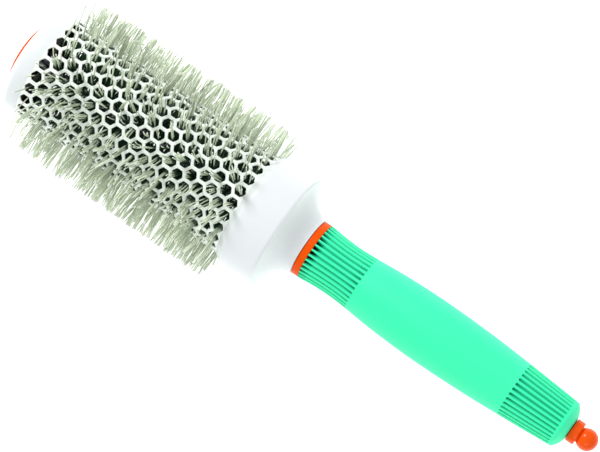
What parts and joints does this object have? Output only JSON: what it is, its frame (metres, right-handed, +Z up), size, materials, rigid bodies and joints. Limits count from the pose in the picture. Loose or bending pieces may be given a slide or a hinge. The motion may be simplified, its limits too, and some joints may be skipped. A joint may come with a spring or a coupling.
{
  "type": "round barrel hair brush",
  "caption": "Round hair brush with a vented ceramic-coated barrel, bristles through its vents, a rubber grip and a pull-out sectioning pick.",
  "frame": {"origin": "on the brush's axis, midway between the cap's tip and the pick's knob", "axes": "+X along the axis from the cap to the knob, +Z up with the brush lying level"},
  "size_m": [0.2776, 0.0682, 0.0682],
  "materials": {
    "ceramic_white": "white ceramic coating on a thin aluminium tube, smooth satin",
    "white_plastic": "white moulded plastic, soft gloss",
    "orange_plastic": "orange moulded plastic, glossy",
    "teal_rubber": "teal green soft-touch rubber, satin",
    "bristle_nylon": "pale grey-green nylon filament",
    "steel_wire": "drawn galvanised steel",
    "inner_plastic": "dark moulded plastic, matt",
    "silicone": "grey silicone, matt"
  },
  "bodies": {
    "brush": {"cap_button": "orange_plastic", "end_cap": "white_plastic", "stem_push_nut": "steel_wire", "barrel": "ceramic_white", "stem_wire_a": "steel_wire", "stem_wire_b": "steel_wire", "bristles_01": "bristle_nylon", "bristles_02": "bristle_nylon", "bristles_03": "bristle_nylon", "bristles_04": "bristle_nylon", "bristles_05": "bristle_nylon", "bristles_06": "bristle_nylon", "bristles_07": "bristle_nylon", "bristles_08": "bristle_nylon", "bristles_09": "bristle_nylon", "bristles_10": "bristle_nylon", "lower_hub": "inner_plastic", "neck_collar": "white_plastic", "stem_ferrule": "steel_wire", "accent_ring": "orange_plastic", "handle_core": "inner_plastic", "grip_sleeve": "teal_rubber", "pick_guide": "inner_plastic"},
    "pick_seal": {"pick_seal": "silicone"},
    "pick": {"pick_knob": "orange_plastic", "pick_needle": "steel_wire"}
  },
  "joints": [
    {"name": "pick_pull", "type": "slide", "parent": "brush", "child": "pick_seal", "axis": [1, 0, 0], "range_m": [0, 0.105]},
    {"name": "pick_turn", "type": "hinge", "parent": "pick_seal", "child": "pick", "pos_m": [0.125, 0, 0], "axis": [1, 0, 0], "continuous": true}
  ]
}
